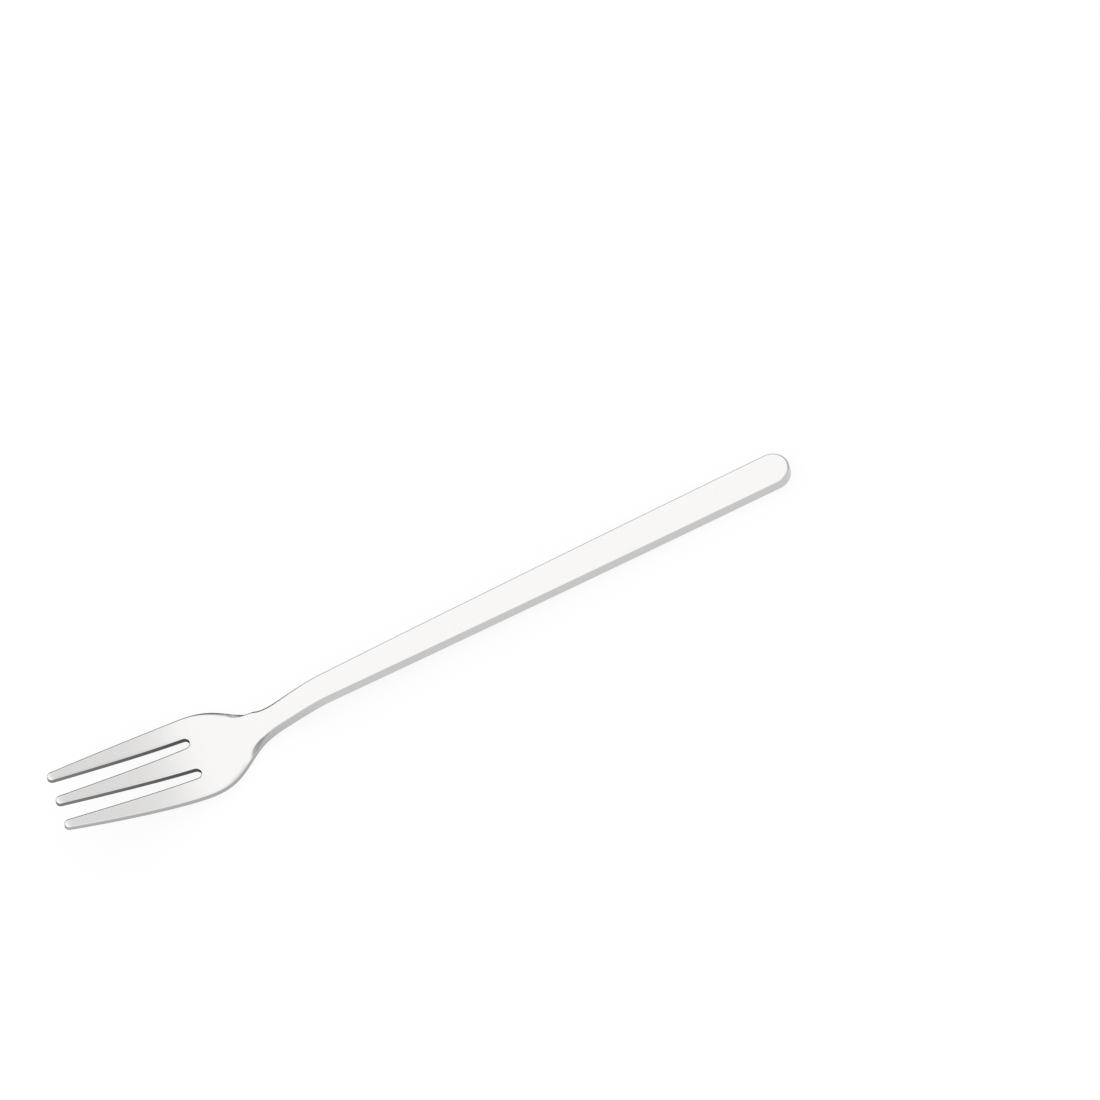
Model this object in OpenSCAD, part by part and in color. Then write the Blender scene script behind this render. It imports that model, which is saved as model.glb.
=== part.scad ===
// Pastry fork with three tines, pressed, bent and polished from one piece of steel.
// It lies as it rests on a table, hollow side up. The tines point to -X, the handle
// to +X, and the palm and the end of the handle touch the table at Z = 0.

/* [Overall] */
// Length over all, from the tips of the tines to the end of the handle
fork_l = 150; // [130:1:175]

/* [Tines] */
// Length of the slots, from the tips to their round roots
slot_l = 26.1; // [20:0.1:34]
// Width of each tine at its tip
tip_w = 1.8; // [1.4:0.05:2.4]
// Width of the slots at the tips
slot_mouth_w = 3.65; // [2.4:0.05:4.6]
// Width of the slots at their round roots
slot_root_w = 2; // [1.2:0.05:2.6]
// Width of the middle tine at the roots of the slots
tine_root_w = 5.15; // [4:0.05:6.5]
// Thickness of the tines
tine_t = 1.15; // [0.9:0.05:1.8]
// Length over which the face of each tine curves down to its tip
nose_l = 1.6; // [0.8:0.1:4]
// How far it curves down
nose_drop = 0.15; // [0.05:0.05:0.3]

/* [Palm] */
// Width of the head at the roots of the slots, its widest place
head_w = 18.1; // [15.5:0.05:23]
// Length of the flat of the palm, from the roots of the slots to where it rests
palm_l = 8.4; // [4:0.1:10]
// Length of the flat that rests on the table, up to the step of the neck
seat_l = 1.4; // [1:0.1:4]
// Thickness of the palm
palm_t = 1.4; // [1:0.05:2]
// Length over which the shoulders narrow to the neck
shoulder_l = 18.4; // [12:0.1:24]

/* [Neck] */
// Width of the neck, the narrowest place
neck_w = 5; // [4:0.05:6]
// Thickness of the neck where it leaves the palm
neck_t = 2.5; // [2:0.05:3.6]
// Length of the step from the thin palm to the stout neck
step_l = 4.2; // [3:0.1:7]
// Length over which the thin edge of the palm rises to the side of the neck
rise_l = 2.4; // [1.6:0.1:4]
// Length over which the neck climbs from the palm to the handle
neck_l = 13.3; // [11:0.1:20]

/* [Handle] */
// Width of the handle at its round end
tail_w = 6.85; // [5.5:0.05:9]
// Thickness of the handle
handle_t = 2.55; // [1.8:0.05:3.2]

/* [Edges] */
// Radius that rounds the edges of the tines and the palm
head_edge_r = 0.2; // [0.1:0.05:0.35]
// Radius that rounds the edges of the neck, where it leaves the palm
neck_edge_r = 0.6; // [0.3:0.05:0.85]
// Radius that rounds the edges of the handle
handle_edge_r = 0.45; // [0.2:0.05:0.8]
// Width of the soft bevel along the tines and the neck
narrow_edge_w = 0.4; // [0.2:0.05:0.5]
// Depth of that bevel
narrow_edge_d = 0.1; // [0.02:0.01:0.14]
// Width of the soft bevel along the shoulders of the palm
shoulder_edge_w = 1.3; // [0.5:0.05:1.6]
// Depth of that bevel, which leaves the palm a thin edge
shoulder_edge_d = 0.3; // [0.1:0.05:0.5]

/* [Side view] */
// Height of the underside of the tips above the table
tip_lift = 9; // [4:0.2:14]
// Softness of the bend from the palm to the tines
bend_l = 12.7; // [6:0.1:18]
// Height of the underside of the handle above the table, where the neck ends
neck_lift = 2.05; // [0.6:0.05:4]

/* [Hidden] */

// How many steps follow each stretch of the outline, the soft bevel and the rounding
tip_steps = 6;
side_steps = 14;
root_steps = 6;
head_steps = 34;
handle_steps = 9;
tail_steps = 10;
soft_steps = 3;
edge_steps = 4;

// How many stations of the palm fan out from the roots of the slots
fan_steps = 2;

// How the curves are shaped
flare_share = 1.43;
shoulder_share = 2;
neck_share = 1.3;
step_share = 1.55;
rise_share = 1.5;
handle_share = 1.8;

// Places along the fork, measured from the tips
tip_cap = tip_w / 2;
root_cap = slot_root_w / 2;
root_x = slot_l - root_cap;
seat_x = slot_l + palm_l;
seat_end = seat_x + seat_l;
climb_x = seat_end + step_l;
climb_end = climb_x + neck_l;
tail_cap = tail_w / 2;
tail_x = fork_l - tail_cap;

// Half widths at the tips and at the roots
tip_outer = tip_w * 1.5 + slot_mouth_w;
root_inner = tine_root_w / 2 + slot_root_w;

// Numbers of the stations along the outline: each side of a tine has the first ones
root_i = tip_steps + side_steps + root_steps;
palm_i = root_i + fan_steps;
head_i = root_i + head_steps;
handle_i = head_i + handle_steps;
tail_i = handle_i + tail_steps;
loop_n = 2 * tail_i + 4 * root_i;

function mix(a, b, share) = a + (b - a) * share;
function clamp(share) = max(0, min(1, share));

// Falls from 1 to 0 while its share goes from 0 to 1, level at both ends
function fade(share, sharpness) =
    share <= 0 ? 1 : share >= 1 ? 0 : 1 / (1 + pow(share / (1 - share), sharpness));

// The fork seen from above: half widths at a distance x from the tips
function middle_edge(x) = mix(tip_w, tine_root_w, clamp(x / slot_l)) / 2;
function inner_edge(x) = mix(tip_w / 2 + slot_mouth_w, root_inner, clamp(x / slot_l));
function slot_mid(x) = (middle_edge(x) + inner_edge(x)) / 2;
function flare_edge(x) = mix(head_w / 2, tip_outer, pow(1 - clamp(x / slot_l), flare_share));
function handle_edge(x) =
    mix(neck_w, tail_w, 1 - pow(1 - clamp((x - climb_x) / (fork_l - climb_x)), handle_share)) / 2;
function body_edge(x) =
    mix(handle_edge(x), head_w / 2, fade((x - slot_l) / shoulder_l, shoulder_share));
function outer_edge(x) = x < slot_l ? flare_edge(x) : body_edge(x);
function tine_mid(x) = (inner_edge(x) + outer_edge(x)) / 2;

// The fork seen from the side: the height of its underside, and its thickness
function bend(d) = sqrt(d * d + bend_l * bend_l) - bend_l;
function handle_under(x) = neck_lift * (fork_l - x) / (fork_l - climb_end);
function underside(x) =
    x < seat_x ? tip_lift * bend(seat_x - x) / bend(seat_x)
               : handle_under(x) * (1 - fade((x - climb_x) / neck_l, neck_share));
function thickness(x) =
    x < seat_x ? mix(tine_t, palm_t, clamp(x / seat_x)) - nose_drop * pow(1 - clamp(x / nose_l), 2)
    : x < climb_x ? mix(neck_t, palm_t, fade((x - seat_x) / (climb_x - seat_x), step_share))
    : mix(handle_t, neck_t, fade((x - climb_x) / neck_l, step_share));

// The edge: the radius of its rounding, and the soft bevel inside that, which is narrow
// along the tines and the neck and wide along the shoulders. Where the neck leaves the palm
// the bevel deepens with the step in thickness, and so the thin edge of the palm carries on
// until it rises to the side of the neck.
function edge_r(x) =
    x < climb_x ? mix(neck_edge_r, head_edge_r, fade((x - seat_x) / (climb_x - seat_x), step_share))
    : mix(neck_edge_r, handle_edge_r, clamp((x - climb_x) / neck_l / 2));
function shoulder_part(x, leave_x) =
    x < seat_x ? 1 - fade((x - slot_l) / palm_l, rise_share)
    : fade((x - leave_x) / (climb_x - leave_x), rise_share);
function soft_w(x) = mix(narrow_edge_w, shoulder_edge_w, shoulder_part(x, seat_end));
function soft_d(x) =
    mix(narrow_edge_d * fade((x - climb_x) / neck_l, step_share),
        shoulder_edge_d + (x < seat_x ? 0 : thickness(x) - palm_t),
        shoulder_part(x, climb_x - rise_l));

// A point at a height h over the underside, square to the bent sheet
probe = slot_l / 1000;
function bent(x, y, h) =
    let (slope = (underside(x + probe) - underside(x - probe)) / (2 * probe),
         level = sqrt(1 + slope * slope))
    [x - h * slope / level - fork_l / 2, y, underside(x) + h / level];

// The stations: their places along the fork
function tine_x(i) =
    i <= tip_steps ? tip_cap * (1 - cos(90 * i / tip_steps))
    : i <= root_i - root_steps ? mix(tip_cap, root_x, (i - tip_steps) / side_steps)
    : root_x + root_cap * sin(90 * (i - root_i + root_steps) / root_steps);
function body_x(i) =
    i <= head_i ? mix(slot_l, climb_end, (i - root_i) / head_steps)
    : i <= handle_i ? mix(climb_end, tail_x, (i - head_i) / handle_steps)
    : tail_x + tail_cap * sin(90 * (i - handle_i) / tail_steps);

// How far the rounding of a tip or of a slot's root has closed at a station
function tip_open(i) = i < tip_steps ? sin(90 * i / tip_steps) : 1;
function root_open(i) =
    i > root_i - root_steps ? cos(90 * (i - root_i + root_steps) / root_steps) : 1;
function tail_open(i) = i > handle_i ? cos(90 * (i - handle_i) / tail_steps) : 1;

// The sides of the tines and of the body. A point's third value is the width of its soft
// bevel, and the fourth the depth.
function middle_side(i) =
    let (x = tine_x(i), wide = max(x, tip_cap))
    [x, mix(slot_mid(x), tip_open(i) * middle_edge(wide), root_open(i)),
     narrow_edge_w, narrow_edge_d];
function inner_side(i) =
    let (x = tine_x(i), wide = max(x, tip_cap))
    [x, mix(slot_mid(x), mix(tine_mid(wide), inner_edge(wide), tip_open(i)), root_open(i)),
     narrow_edge_w, narrow_edge_d];
function outer_side(i) =
    i <= root_i
    ? let (x = tine_x(i), wide = max(x, tip_cap))
      [x, mix(tine_mid(wide), outer_edge(wide), tip_open(i)), soft_w(x), soft_d(x)]
    : let (x = body_x(i))
      [x, body_edge(min(x, tail_x)) * tail_open(i), soft_w(x), soft_d(x)];
function other(point) = [point[0], -point[1], point[2], point[3]];

// One closed outline: from the end of the handle along the first side to the tips,
// in and out of both slots, and back along the other side
outline = [
    for (i = [tail_i:-1:0]) outer_side(i),
    for (i = [1:root_i]) inner_side(i),
    for (i = [root_i - 1:-1:0]) middle_side(i),
    for (i = [1:root_i]) other(middle_side(i)),
    for (i = [root_i - 1:-1:0]) other(inner_side(i)),
    for (i = [1:tail_i - 1]) other(outer_side(i)),
];
inward = [
    for (j = [0:loop_n - 1])
        let (a = outline[(j + loop_n - 1) % loop_n], b = outline[(j + 1) % loop_n],
             run = [b.x - a.x, b.y - a.y])
        [-run.y, run.x] / norm(run)
];

// Where the stations of each side lie in the outline
function outer_j(i) = tail_i - i;
function inner_j(i) = tail_i + i;
function middle_j(i) = tail_i + 2 * root_i - i;
function other_middle_j(i) = tail_i + 2 * root_i + i;
function other_inner_j(i) = tail_i + 4 * root_i - i;
function other_outer_j(i) = (tail_i + 4 * root_i + i) % loop_n;

// A ring runs along the outline at one place of the edge's profile: first the soft bevel,
// a curve that steepens to its lean, then the rounding from that lean to upright
ring_n = soft_steps + 2 * edge_steps + 2;
function lean(p) = atan(2 * p[3] / p[2]);
function soft_place(p, share) =
    [p[2] * (1 - share) + edge_r(p.x) * (1 - sin(lean(p))), p[3] * share * share];
function round_place(p, from, turn) =
    [edge_r(p.x) * (1 - sin(turn)), edge_r(p.x) * (cos(from) - cos(turn))];
function top_place(p, k) =
    k < soft_steps ? soft_place(p, k / soft_steps)
    : let (turn = mix(lean(p), 90, (k - soft_steps) / edge_steps))
      round_place(p, lean(p), turn) + [0, p[3]];
function ring_point(j, k) =
    let (p = outline[j], upper = k <= soft_steps + edge_steps,
         place = upper ? top_place(p, k) : round_place(p, 0, 90 * (ring_n - 1 - k) / edge_steps),
         x = p.x + inward[j].x * place[0], y = p.y + inward[j].y * place[0])
    bent(x, y, upper ? thickness(x) - place[1] : place[1]);

ring_points = [for (k = [0:ring_n - 1]) for (j = [0:loop_n - 1]) ring_point(j, k)];

function halves(a, b, c, d) = [for (f = [[a, b, c], [a, c, d]])
    if (f[0] != f[1] && f[1] != f[2] && f[2] != f[0]) f];

// The edge all round, then the face of the three tines, the palm and the handle
edge_faces = [
    for (k = [0:ring_n - 2]) for (j = [0:loop_n - 1])
        let (next = (j + 1) % loop_n)
        each halves(k * loop_n + j, k * loop_n + next, (k + 1) * loop_n + next,
                    (k + 1) * loop_n + j)
];
face_strips = [
    for (i = [0:root_i - 1]) each [
        each halves(outer_j(i), outer_j(i + 1), inner_j(i + 1), inner_j(i)),
        each halves(middle_j(i), middle_j(i + 1), other_middle_j(i + 1), other_middle_j(i)),
        each halves(other_inner_j(i), other_inner_j(i + 1), other_outer_j(i + 1), other_outer_j(i)),
    ],
    for (i = [root_i:palm_i - 1]) each [
        [inner_j(root_i), outer_j(i), outer_j(i + 1)],
        [other_inner_j(root_i), other_outer_j(i + 1), other_outer_j(i)],
    ],
    each halves(outer_j(palm_i), other_outer_j(palm_i), other_inner_j(root_i), inner_j(root_i)),
    for (i = [palm_i:tail_i - 1])
        each halves(outer_j(i), outer_j(i + 1), other_outer_j(i + 1), other_outer_j(i)),
];
under_start = (ring_n - 1) * loop_n;

module fork() {
    color("gainsboro")
        polyhedron(
            points = ring_points,
            faces = concat(edge_faces, face_strips,
                           [for (f = face_strips) [for (k = [2, 1, 0]) f[k] + under_start]]),
            convexity = 8);
}

fork();
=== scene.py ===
"""Looks of the pastry fork: a fine mesh of its polished steel, the table, the studio and the camera."""

import math

import bpy
import numpy as np
from mathutils import Matrix, Vector


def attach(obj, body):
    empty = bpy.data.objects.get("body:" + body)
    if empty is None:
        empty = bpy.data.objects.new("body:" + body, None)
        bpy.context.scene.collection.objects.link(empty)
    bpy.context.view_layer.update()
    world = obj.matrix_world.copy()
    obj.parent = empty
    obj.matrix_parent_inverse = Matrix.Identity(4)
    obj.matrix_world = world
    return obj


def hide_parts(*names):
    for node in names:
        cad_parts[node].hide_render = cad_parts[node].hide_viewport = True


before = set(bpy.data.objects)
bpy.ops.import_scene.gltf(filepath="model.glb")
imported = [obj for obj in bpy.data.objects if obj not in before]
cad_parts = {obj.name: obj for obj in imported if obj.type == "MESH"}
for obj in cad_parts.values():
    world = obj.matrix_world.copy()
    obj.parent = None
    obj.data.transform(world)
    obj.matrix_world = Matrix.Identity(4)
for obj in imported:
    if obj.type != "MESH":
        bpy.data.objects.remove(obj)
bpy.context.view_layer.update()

MM = 0.001

# Sizes of the fork in millimetres. They are the CAD's, apart from four: nose_drop,
# shoulder_edge_w and shoulder_softness are finer here, and with the lower tip_lift the
# tips stay inside the CAD's box.
fork_l = 150
slot_l = 26.1
tip_w = 1.8
slot_mouth_w = 3.65
slot_root_w = 2
tine_root_w = 5.15
tine_t = 1.15
nose_l = 1.6
nose_drop = 0.05
head_w = 18.1
palm_l = 8.4
seat_l = 1.4
palm_t = 1.4
shoulder_l = 18.4
neck_w = 5
neck_t = 2.5
step_l = 4.2
rise_l = 2.4
neck_l = 13.3
tail_w = 6.85
handle_t = 2.55
head_edge_r = 0.2
neck_edge_r = 0.6
handle_edge_r = 0.45
narrow_edge_w = 0.4
narrow_edge_d = 0.1
shoulder_edge_w = 1
shoulder_edge_d = 0.3
tip_lift = 8.92
bend_l = 12.7
neck_lift = 2.05
flare_share = 1.43
shoulder_share = 2
neck_share = 1.3
step_share = 1.55
rise_share = 1.5
handle_share = 1.8
narrow_softness = 2
shoulder_softness = 1.5

# How finely the mesh follows the outline, the soft bevel and the rounding of the edge
tip_steps = 14
side_steps = 60
root_steps = 14
head_steps = 140
handle_steps = 40
tail_steps = 28
soft_steps = 6
edge_steps = 8

# Places along the fork, measured from the tips
tip_cap = tip_w / 2
root_cap = slot_root_w / 2
root_x = slot_l - root_cap
seat_x = slot_l + palm_l
seat_end = seat_x + seat_l
climb_x = seat_end + step_l
climb_end = climb_x + neck_l
rise_x = climb_x - rise_l
rise_mid = climb_x - rise_l / 2
hollow_x = seat_end + rise_l / 4
tail_cap = tail_w / 2
tail_x = fork_l - tail_cap
slot_side = tine_root_w / 2 + slot_root_w

# Numbers of the stations along the outline
root_i = tip_steps + side_steps + root_steps
head_i = root_i + head_steps
handle_i = head_i + handle_steps
tail_i = handle_i + tail_steps
palm_i = root_i + math.ceil(head_steps / 30)
loop_n = 2 * tail_i + 4 * root_i


def mix(a, b, share):
    return a + (b - a) * share


def fade(share, sharpness):
    """Falls from 1 to 0 while its share goes from 0 to 1, level at both ends."""
    tiny = 1e-9
    s = np.clip(share, tiny, 1 - tiny)
    return 1 / (1 + (s / (1 - s)) ** sharpness)


# The fork seen from above: half widths at a distance x from the tips
def middle_edge(x):
    return mix(tip_w, tine_root_w, np.clip(x / slot_l, 0, 1)) / 2


def inner_edge(x):
    return mix(tip_w / 2 + slot_mouth_w, slot_side, np.clip(x / slot_l, 0, 1))


def outer_edge(x):
    tip_outer = tip_w * 1.5 + slot_mouth_w
    flare = mix(head_w / 2, tip_outer, (1 - np.clip(x / slot_l, 0, 1)) ** flare_share)
    along = np.clip((x - climb_x) / (fork_l - climb_x), 0, 1)
    handle = mix(neck_w, tail_w, 1 - (1 - along) ** handle_share) / 2
    body = mix(handle, head_w / 2, fade((x - slot_l) / shoulder_l, shoulder_share))
    return np.where(x < slot_l, flare, body)


def slot_mid(x):
    return (middle_edge(x) + inner_edge(x)) / 2


def tine_mid(x):
    return (inner_edge(x) + outer_edge(x)) / 2


# The fork seen from the side: the height of its underside, and its thickness
def bend(d):
    return np.sqrt(d * d + bend_l * bend_l) - bend_l


def underside(x):
    tines = tip_lift * bend(seat_x - x) / bend(seat_x)
    handle = neck_lift * (fork_l - x) / (fork_l - climb_end)
    return np.where(x < seat_x, tines, handle * (1 - fade((x - climb_x) / neck_l, neck_share)))


def thickness(x):
    nose = nose_drop * (1 - np.clip(x / nose_l, 0, 1)) ** 2
    head = mix(tine_t, palm_t, np.clip(x / seat_x, 0, 1)) - nose
    step = mix(neck_t, palm_t, fade((x - seat_x) / (climb_x - seat_x), step_share))
    neck = mix(handle_t, neck_t, fade((x - climb_x) / neck_l, step_share))
    return np.where(x < seat_x, head, np.where(x < climb_x, step, neck))


# The edge: the radius of its rounding, and the soft bevel inside that
def edge_r(x):
    head = mix(neck_edge_r, head_edge_r, fade((x - seat_x) / (climb_x - seat_x), step_share))
    handle = mix(neck_edge_r, handle_edge_r, np.clip((x - climb_x) / neck_l / 2, 0, 1))
    return np.where(x < climb_x, head, handle)


def shoulder_part(x, leave_x):
    """How far the bevel is the wide one of the shoulder, from 0 to 1. It leaves it from leave_x on."""
    palm = 1 - fade((x - slot_l) / palm_l, rise_share)
    neck = fade((x - leave_x) / (climb_x - leave_x), rise_share)
    return np.where(x < seat_x, palm, neck)


def soft_w(x):
    return mix(narrow_edge_w, shoulder_edge_w, shoulder_part(x, seat_end))


def soft_d(x):
    narrow = narrow_edge_d * fade((x - climb_x) / neck_l, step_share)
    shoulder = shoulder_edge_d + np.where(x < seat_x, 0, thickness(x) - palm_t)
    return mix(narrow, shoulder, shoulder_part(x, rise_x))


def slope_of(curve, x):
    probe = slot_l / 1000
    return (curve(x + probe) - curve(x - probe)) / (2 * probe)


# The stations: their places along the fork, and how far the round ends have turned there
def turn(i, start, steps):
    """The angle through which a round end has turned at station i, from 0 to a right angle."""
    return np.clip((i - start) / steps, 0, 1) * math.pi / 2


def tine_x(i):
    straight = mix(tip_cap, root_x, np.clip((i - tip_steps) / side_steps, 0, 1))
    return np.where(i <= tip_steps, tip_cap * (1 - np.cos(turn(i, 0, tip_steps))),
                    straight + root_cap * np.sin(turn(i, root_i - root_steps, root_steps)))


def body_x(i):
    head = mix(slot_l, climb_end, (i - root_i) / head_steps)
    handle = mix(climb_end, tail_x, np.clip((i - head_i) / handle_steps, 0, 1))
    return np.where(i <= head_i, head, handle + tail_cap * np.sin(turn(i, handle_i, tail_steps)))


def side(i, edge):
    """One side of a tine as rows of x, y and its soft bevel's width and depth."""
    x = tine_x(i)
    wide = np.maximum(x, tip_cap)
    middle = 0 if edge is middle_edge else tine_mid(wide)
    y = mix(middle, edge(wide), np.sin(turn(i, 0, tip_steps)))
    if edge is outer_edge:
        return np.stack([x, y, soft_w(x), soft_d(x)], 1)
    y = mix(slot_mid(x), y, np.cos(turn(i, root_i - root_steps, root_steps)))
    return np.stack([x, y, 0 * x + narrow_edge_w, 0 * x + narrow_edge_d], 1)


def body_side(i):
    x = body_x(i)
    y = outer_edge(np.minimum(x, tail_x)) * np.cos(turn(i, handle_i, tail_steps))
    return np.stack([x, y, soft_w(x), soft_d(x)], 1)


def make_outline():
    """The closed outline seen from above, anticlockwise: handle, tines, handle."""
    tine = np.arange(root_i + 1)
    outer = np.concatenate([side(tine, outer_edge), body_side(np.arange(root_i + 1, tail_i + 1))])
    inner = side(tine, inner_edge)
    middle = side(tine, middle_edge)
    other = np.array([1, -1, 1, 1])
    return np.concatenate([outer[::-1], inner[1:], middle[-2::-1], middle[1:] * other,
                           inner[-2::-1] * other, outer[1:-1] * other])


def edge_profile(outline):
    """The rings round the edge, from the face to the underside: how far in from the outline,
    how far from the face or the underside, the tilt, and whether it is on the upper side."""
    radius, width, depth = edge_r(outline[:, 0]), outline[:, 2], outline[:, 3]
    softness = mix(narrow_softness, shoulder_softness, shoulder_part(outline[:, 0], seat_end))
    lean = np.arctan2(softness * depth, width)
    rings = []
    for k in range(soft_steps):
        share = k / soft_steps
        rings.append((width * (1 - share) + radius * (1 - np.sin(lean)), depth * share ** softness,
                      np.arctan2(softness * depth * share ** (softness - 1), width), True))
    for k in range(edge_steps + 1):
        tilt = mix(lean, math.pi / 2, k / edge_steps)
        rings.append((radius * (1 - np.sin(tilt)), depth + radius * (np.cos(lean) - np.cos(tilt)),
                      tilt, True))
    for k in range(edge_steps, -1, -1):
        tilt = np.full_like(radius, math.pi / 2 * k / edge_steps)
        rings.append((radius * (1 - np.sin(tilt)), radius * (1 - np.cos(tilt)), tilt, False))
    return rings


def make_fork_mesh():
    """The fork as rings of points round its edge, with the face and the underside as strips."""
    outline = make_outline()
    run = np.roll(outline, -1, 0)[:, :2] - np.roll(outline, 1, 0)[:, :2]
    inward = np.stack([-run[:, 1], run[:, 0]], 1) / np.linalg.norm(run, axis=1)[:, None]
    points, normals = [], []
    for reach, drop, tilt, upper in edge_profile(outline):
        x = outline[:, 0] + inward[:, 0] * reach
        y = outline[:, 1] + inward[:, 1] * reach
        height = thickness(x) - drop if upper else drop
        slope = slope_of(underside, x)
        level = np.sqrt(1 + slope * slope)
        along = np.stack([1 / level, 0 * x, slope / level], 1)
        square = np.stack([-slope / level, 0 * x, 1 / level], 1)
        base = np.stack([x - fork_l / 2, y, underside(x)], 1)
        points.append(base + square * height[:, None])
        if upper:
            face = square - along * (slope_of(thickness, x) / level)[:, None]
            face /= np.linalg.norm(face, axis=1)[:, None]
        else:
            face = -square
        out = -(along * inward[:, :1] + np.array([0, 1, 0]) * inward[:, 1:])
        normals.append(out * np.sin(tilt)[:, None] + face * np.cos(tilt)[:, None])

    def tidy(*corners):
        """A face without repeated corners, as at the ends of the tines and of the handle."""
        return list(dict.fromkeys(corners))

    ring_n = len(points)
    faces = []
    for k in range(ring_n - 1):
        for j in range(loop_n):
            after = (j + 1) % loop_n
            a, b = k * loop_n, (k + 1) * loop_n
            faces.append([b + j, b + after, a + after, a + j])
    inner_j, middle_j = tail_i, tail_i + 2 * root_i
    other_j = tail_i + 4 * root_i
    strips = []
    for i in range(root_i):
        strips.append(tidy(inner_j + i, inner_j + i + 1, tail_i - i - 1, tail_i - i))
        strips.append(tidy(middle_j + i, middle_j + i + 1, middle_j - i - 1, middle_j - i))
        strips.append(tidy(other_j + i, other_j + i + 1, other_j - i - 1, other_j - i))
    root, other_root = inner_j + root_i, middle_j + root_i
    for i in range(root_i, palm_i):
        strips.append([root, tail_i - i - 1, tail_i - i])
        strips.append([other_root, other_j + i, other_j + i + 1])
    strips.append([root, other_root, other_j + palm_i, tail_i - palm_i])
    for i in range(palm_i, tail_i):
        strips.append(tidy((other_j + i) % loop_n, (other_j + i + 1) % loop_n,
                           tail_i - i - 1, tail_i - i))
    faces += strips
    under = (ring_n - 1) * loop_n
    faces += [[under + corner for corner in strip[::-1]] for strip in strips]

    mesh = bpy.data.meshes.new("fork_steel")
    mesh.from_pydata((np.concatenate(points) * MM).tolist(), [], faces)
    mesh.shade_smooth()
    mesh.normals_split_custom_set_from_vertices(np.concatenate(normals).tolist())
    return mesh


def node(tree, kind, inputs=None, **settings):
    """A node with its settings; inputs holds a value or another node's output by socket."""
    made = tree.nodes.new(kind)
    for name, value in settings.items():
        setattr(made, name, value)
    for key, value in (inputs or {}).items():
        if isinstance(value, bpy.types.NodeSocket):
            tree.links.new(value, made.inputs[key])
        else:
            made.inputs[key].default_value = value
    return made


def maths(tree, operation, a, b):
    return node(tree, "ShaderNodeMath", {0: a, 1: b}, operation=operation).outputs[0]


def ramp(tree, value, start, end, low=0.0, high=1.0, curve="LINEAR"):
    """Goes from low to high while the value goes from start to end, and stays there."""
    return node(tree, "ShaderNodeMapRange", {"Value": value, "From Min": start, "From Max": end,
                                             "To Min": low, "To Max": high},
                interpolation_type=curve).outputs[0]


def new_tree(owner):
    owner.use_nodes = True
    owner.node_tree.nodes.clear()
    return owner.node_tree


def blend(tree, share, first, second):
    """One colour or another; each is three numbers or a node's output."""
    inputs = {"Fac": share}
    for key, colour in (("Color1", first), ("Color2", second)):
        inputs[key] = (*colour, 1) if isinstance(colour, tuple) else colour
    return node(tree, "ShaderNodeMixRGB", inputs).outputs[0]


# Colours of the steel
face_colour = (0.66, 0.654, 0.641)
# Painted shade on the upright edges of the handle and of the head, in place of darker reflections
handle_edge_shade_colour = (0.585, 0.58, 0.575)
head_edge_shade_colour = (0.48, 0.475, 0.475)
# Painted shade in the hollow on both sides of the neck
hollow_shade_colour = (0.3, 0.296, 0.294)
# Painted shade on the far rim of the shoulder, beside the hollow and along the neck, in place of dark
# reflections
shoulder_rim_shade_colour = (0.3, 0.297, 0.294)
hollow_rim_shade_colour = (0.07, 0.069, 0.068)
neck_rim_shade_colour = (0.15, 0.148, 0.145)
# The slot walls: duller cut steel, with painted shade that darkens them towards the roots
slot_mouth_cut_and_shade_colour = (0.26, 0.255, 0.25)
slot_root_cut_and_shade_colour = (0.105, 0.105, 0.11)
# How much light is left at a grazing angle: all of it, or a quarter where painted shade darkens the
# head's edges and the far rim
plain_grazing = (1.0, 1.0, 1.0)
shaded_grazing = (0.25, 0.25, 0.25)

# The marks of wiping and polishing, as noise per metre along and across the fork, and the
# heights of the lines and of the unevenness in millimetres
line_scale = (180, 5200, 5200)
wipe_scale = (240, 9000, 2000)
wipe_turns = (0.35, -0.5, 1.1)
cloud_scale = (90, 140, 140)
line_height = 0.0008
cloud_height = 0.012

# Colours and brightness of the studio
table_colour = (0.83, 0.83, 0.83)
table_white_share = 0.88
screen_colour = (0.12, 0.118, 0.115)
room_light = 0.98
panel_light = 0.45


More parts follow.
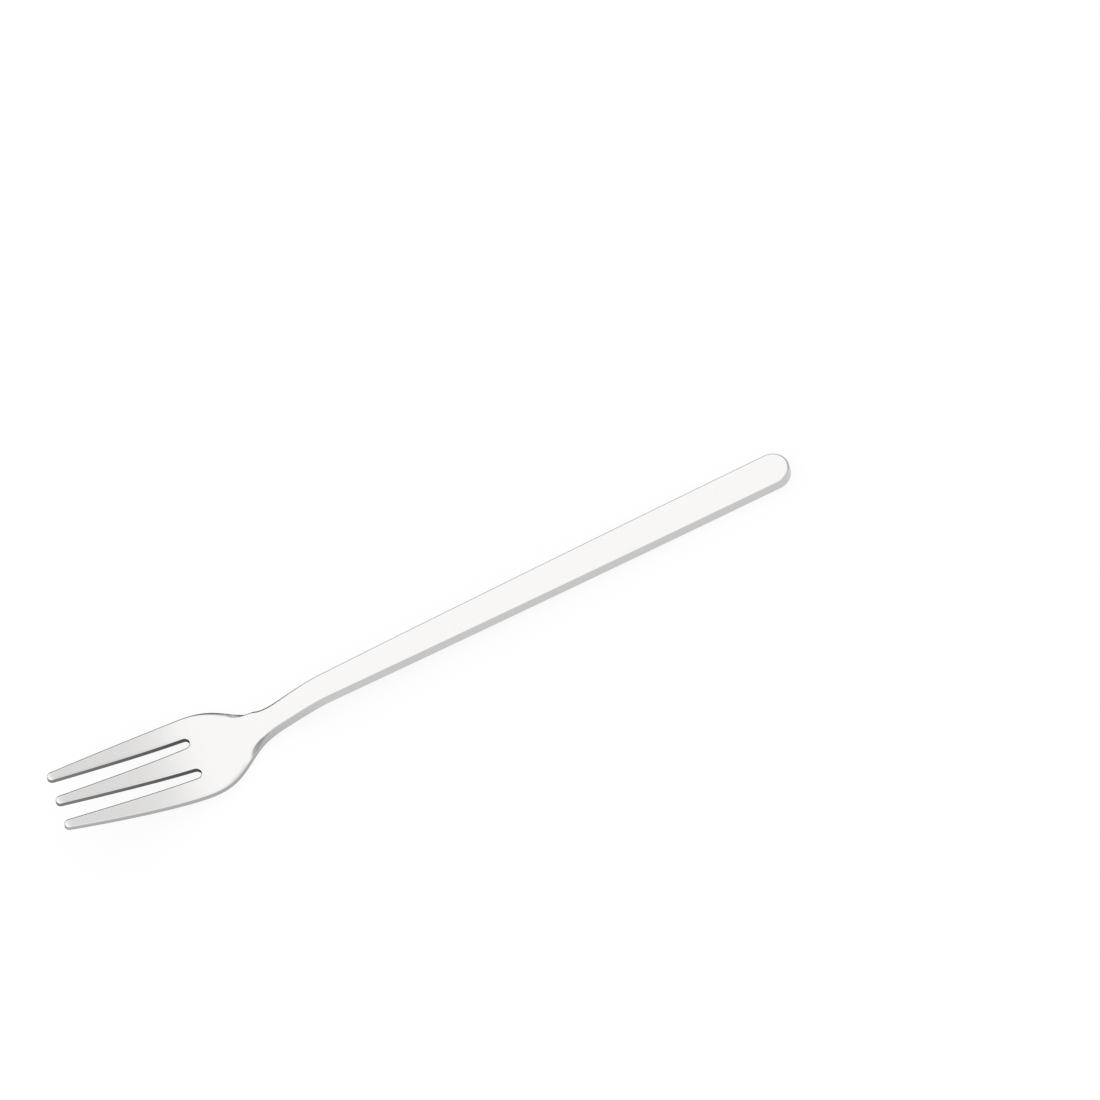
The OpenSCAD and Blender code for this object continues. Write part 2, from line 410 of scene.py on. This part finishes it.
def make_steel():
    """Bright polished steel, with fine wiping marks and the faint unevenness of a pressed blank. Its
    upright edges, the hollow on both sides of the neck and the far rim of the shoulder and neck are
    darkened with painted shade, in place of darker reflections. The slot walls are duller, rougher cut
    steel, with painted shade that darkens them most towards the roots."""
    steel = bpy.data.materials.new("polished_steel")
    tree = new_tree(steel)
    place = node(tree, "ShaderNodeTexCoord").outputs["Object"]
    parts = node(tree, "ShaderNodeSeparateXYZ", {0: place}).outputs

    def streaks(scale, angle, detail):
        """Noise drawn out along the fork, turned by an angle about Z; scale is per metre."""
        turned = node(tree, "ShaderNodeMapping", {"Vector": place, "Rotation": (0, 0, angle),
                                                  "Scale": scale})
        return node(tree, "ShaderNodeTexNoise", {"Vector": turned.outputs[0], "Scale": 1.0,
                                                 "Detail": detail}).outputs["Fac"]

    def along(start, end, low=0.0, high=1.0):
        """Goes from low to high between two places, in millimetres from the tips."""
        return ramp(tree, parts["X"], (start - fork_l / 2) * MM, (end - fork_l / 2) * MM, low, high)

    def product(first, *others):
        for other in others:
            first = maths(tree, "MULTIPLY", first, other)
        return first

    def total(first, *others):
        for other in others:
            first = maths(tree, "ADD", first, other)
        return first

    # Where the steel differs, each from 0 to 1: the cut edges, the walls of the slots, the hollow on
    # both sides of the neck, and the bevel and the rim along the far side of the shoulder. The edges
    # carry painted shade and a little roughness, the slot walls painted shade and more roughness, the
    # hollow and the rim painted shade only, and the bevel roughness only.
    # Level is 1 where the surface lies flat and 0 where it stands upright.
    normal = node(tree, "ShaderNodeNewGeometry").outputs["Normal"]
    facing = node(tree, "ShaderNodeSeparateXYZ", {0: normal}).outputs
    level = maths(tree, "ABSOLUTE", facing["Z"], 0.0)
    across = maths(tree, "ABSOLUTE", parts["Y"], 0.0)
    edge = ramp(tree, level, 0.88, 0.76)
    slot = product(ramp(tree, across, slot_side * 1.15 * MM, slot_side * 1.05 * MM),
                   along(slot_l * 1.02, slot_l * 1.01), ramp(tree, level, 0.82, 0.6))
    neck_hollow_shade = product(ramp(tree, level, 0.9, 0.7), ramp(tree, level, 0.25, 0.45),
                     along(seat_end, rise_mid), along(climb_x + rise_l / 2, climb_x - rise_l / 4))
    bevel = product(ramp(tree, facing["Y"], 0.1, 0.2), along(seat_x, seat_end),
                    along(rise_x, hollow_x))
    far = total(facing["Y"], product(along(hollow_x, rise_x), along(rise_mid, climb_x, 0.4, 0.2)))
    # Painted shade: the rim that faces the far side, along the shoulder and the neck
    far_rim_shade = product(ramp(tree, far, 0.5, 0.65), ramp(tree, facing["Z"], 0.2, 0.4),
                  along(seat_x - seat_l, seat_end), along(climb_end, climb_x))

    # How rough it is: the polish with its lines, then what each mark and place adds
    lines = streaks(line_scale, 0.0, 3.0)
    wipes = [ramp(tree, streaks(wipe_scale, turn, 1.0), 0.66, 0.72) for turn in wipe_turns]
    mark = maths(tree, "MAXIMUM", maths(tree, "MAXIMUM", wipes[0], wipes[1]), wipes[2])
    cloud = streaks(cloud_scale, 0.0, 2.0)
    rough = total(ramp(tree, lines, 0.3, 0.7, 0.13, 0.19), product(mark, 0.06), product(cloud, 0.04),
                  product(edge, 0.05), product(slot, 0.15), product(bevel, 0.35))

    # The colour seen from square on, and how much of the light is left at a grazing angle. Both carry
    # painted shade: darker colours on the edges, the hollow, the far rim and the slots, and less light
    # left at a grazing angle on the edges of the head and neck and on the far rim.
    # Painted shade: the upright edges get a darker colour, darker still on the head, in place of darker
    # reflections
    edge_shade_tint = blend(tree, along(climb_end, seat_x), handle_edge_shade_colour, head_edge_shade_colour)
    # Painted shade: the far rim gets a dark colour, near black beside the hollow, in place of dark
    # reflections
    rim_shade_tint = blend(tree, along(hollow_x + rise_l / 4, rise_x), shoulder_rim_shade_colour, hollow_rim_shade_colour)
    rim_shade_tint = blend(tree, along(rise_mid, climb_x), rim_shade_tint, neck_rim_shade_colour)
    # The slot walls: duller cut steel, with painted shade that darkens them towards the roots of the
    # slots
    slot_cut_and_shade_tint = blend(tree, along(0, slot_l), slot_mouth_cut_and_shade_colour, slot_root_cut_and_shade_colour)
    tint = blend(tree, edge, face_colour, edge_shade_tint)
    # Painted shade in the hollow on both sides of the neck
    tint = blend(tree, neck_hollow_shade, tint, hollow_shade_colour)
    tint = blend(tree, far_rim_shade, tint, rim_shade_tint)
    tint = blend(tree, slot, tint, slot_cut_and_shade_tint)
    # Painted shade: less light at a grazing angle on the edges of the head and neck and on the far rim
    grazing_shade = maths(tree, "MAXIMUM", product(edge, along(climb_end, seat_x)), far_rim_shade)
    grazing = blend(tree, grazing_shade, plain_grazing, shaded_grazing)

    uneven = node(tree, "ShaderNodeBump", {"Height": cloud, "Strength": 1.0,
                                           "Distance": cloud_height * MM}).outputs[0]
    fine = node(tree, "ShaderNodeBump", {"Height": maths(tree, "SUBTRACT", lines, mark),
                                         "Strength": 0.25, "Distance": line_height * MM,
                                         "Normal": uneven}).outputs[0]
    shader = node(tree, "ShaderNodeBsdfPrincipled", {"Base Color": tint, "Metallic": 1.0,
                                                     "Specular Tint": grazing,
                                                     "Roughness": rough, "Normal": fine})
    node(tree, "ShaderNodeOutputMaterial", {"Surface": shader.outputs[0]})
    return steel


def stage_mesh(name, points, faces, colour, white_share=0.0):
    """A plain matt piece of the studio. The camera and reflections see it part lit, part white."""
    mesh = bpy.data.meshes.new(name)
    mesh.from_pydata(points, [], faces)
    piece = bpy.data.objects.new(name, mesh)
    bpy.context.scene.collection.objects.link(piece)
    matt = bpy.data.materials.new(name)
    tree = new_tree(matt)
    lit = node(tree, "ShaderNodeBsdfDiffuse", {"Color": (*colour, 1)})
    white = node(tree, "ShaderNodeEmission", {"Color": (1, 1, 1, 1), "Strength": 1.0})
    path = node(tree, "ShaderNodeLightPath")
    seen = maths(tree, "ADD", path.outputs["Is Camera Ray"], path.outputs["Is Glossy Ray"])
    seen = maths(tree, "ADD", seen, path.outputs["Is Transmission Ray"])
    both = node(tree, "ShaderNodeMixShader", {0: maths(tree, "MULTIPLY", seen, white_share),
                                              1: lit.outputs[0], 2: white.outputs[0]})
    node(tree, "ShaderNodeOutputMaterial", {"Surface": both.outputs[0]})
    mesh.materials.append(matt)
    return piece


def make_table():
    """The pale table that the fork lies on, a hair below it so that the two don't flicker."""
    half, low = 3.0, -0.00002
    corners = [(-half, -half, low), (half, -half, low), (half, half, low), (-half, half, low)]
    stage_mesh("table", corners, [(0, 1, 2, 3)], table_colour, table_white_share)


def make_screen():
    """A low grey screen behind the fork, which gives the polished far edges their dark lines."""
    sides, radius, foot, top = 24, 1.5, 0.02, 0.62
    points, faces = [], []
    for k in range(sides + 1):
        angle = math.pi * k / sides
        for height in (foot, top):
            points.append((radius * math.cos(angle), radius * math.sin(angle), height))
    for k in range(sides):
        faces.append((2 * k, 2 * k + 2, 2 * k + 3, 2 * k + 1))
    screen = stage_mesh("screen", points, faces, screen_colour)
    screen.visible_camera = False
    screen.visible_diffuse = False
    screen.visible_shadow = False


def make_studio():
    """A white room with one soft panel overhead, which the steel shows as well. The panel's
    sides are given as the parts of the direction from the fork towards them."""
    world = bpy.data.worlds.new("studio")
    bpy.context.scene.world = world
    tree = new_tree(world)
    way = node(tree, "ShaderNodeTexCoord").outputs["Generated"]
    parts = node(tree, "ShaderNodeSeparateXYZ", {0: way})

    along = ramp(tree, parts.outputs["X"], 0.21, 0.4, 1.0, 0.0, "SMOOTHSTEP")
    near = ramp(tree, parts.outputs["Y"], -0.9, -0.4, 0.0, 1.0)
    far = ramp(tree, parts.outputs["Y"], 0.7, 1.0, 1.0, 0.0)
    up = ramp(tree, parts.outputs["Z"], 0.25, 0.5, 0.0, 1.0, "SMOOTHSTEP")
    panel = maths(tree, "MULTIPLY", maths(tree, "MULTIPLY", along, up),
                  maths(tree, "MULTIPLY", near, far))
    light = maths(tree, "ADD", maths(tree, "MULTIPLY", panel, panel_light), room_light)
    shader = node(tree, "ShaderNodeBackground", {"Color": (1, 1, 1, 1), "Strength": light})
    node(tree, "ShaderNodeOutputWorld", {"Surface": shader.outputs[0]})


def make_camera():
    """The camera, at the photograph's viewing angle: it looks at the face of the handle, leans
    from it towards the near side, and is rolled so that the handle rises to the right."""
    handle_slope = math.radians(1.25)
    lean, roll = math.radians(33), math.radians(25.8)
    aim = Vector((27.93, 6.06, 2)) * MM
    image_px, focal_px, distance = 1100, 3730, 0.6997
    along = Vector((math.cos(handle_slope), 0, -math.sin(handle_slope)))
    across = Vector((0, 1, 0))
    face = along.cross(across)
    back = face * math.cos(lean) - across * math.sin(lean)
    level = across * math.cos(lean) + face * math.sin(lean)
    right = along * math.cos(roll) - level * math.sin(roll)
    up = along * math.sin(roll) + level * math.cos(roll)
    camera = bpy.data.objects.new("camera", bpy.data.cameras.new("camera"))
    camera.matrix_world = Matrix.Translation(aim + back * distance) @ Matrix(
        (right, up, back)).transposed().to_4x4()
    camera.data.angle = 2 * math.atan(image_px / 2 / focal_px)
    camera.data.clip_start = distance / 100
    camera.data.clip_end = distance * 100
    bpy.context.scene.collection.objects.link(camera)
    bpy.context.scene.camera = camera


bpy.context.scene.view_settings.view_transform = "Standard"
fork = bpy.data.objects.new("fork_polished", make_fork_mesh())
fork.data.materials.append(make_steel())
bpy.context.scene.collection.objects.link(fork)
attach(fork, "root")
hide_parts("fork")
make_table()
make_screen()
make_studio()
make_camera()
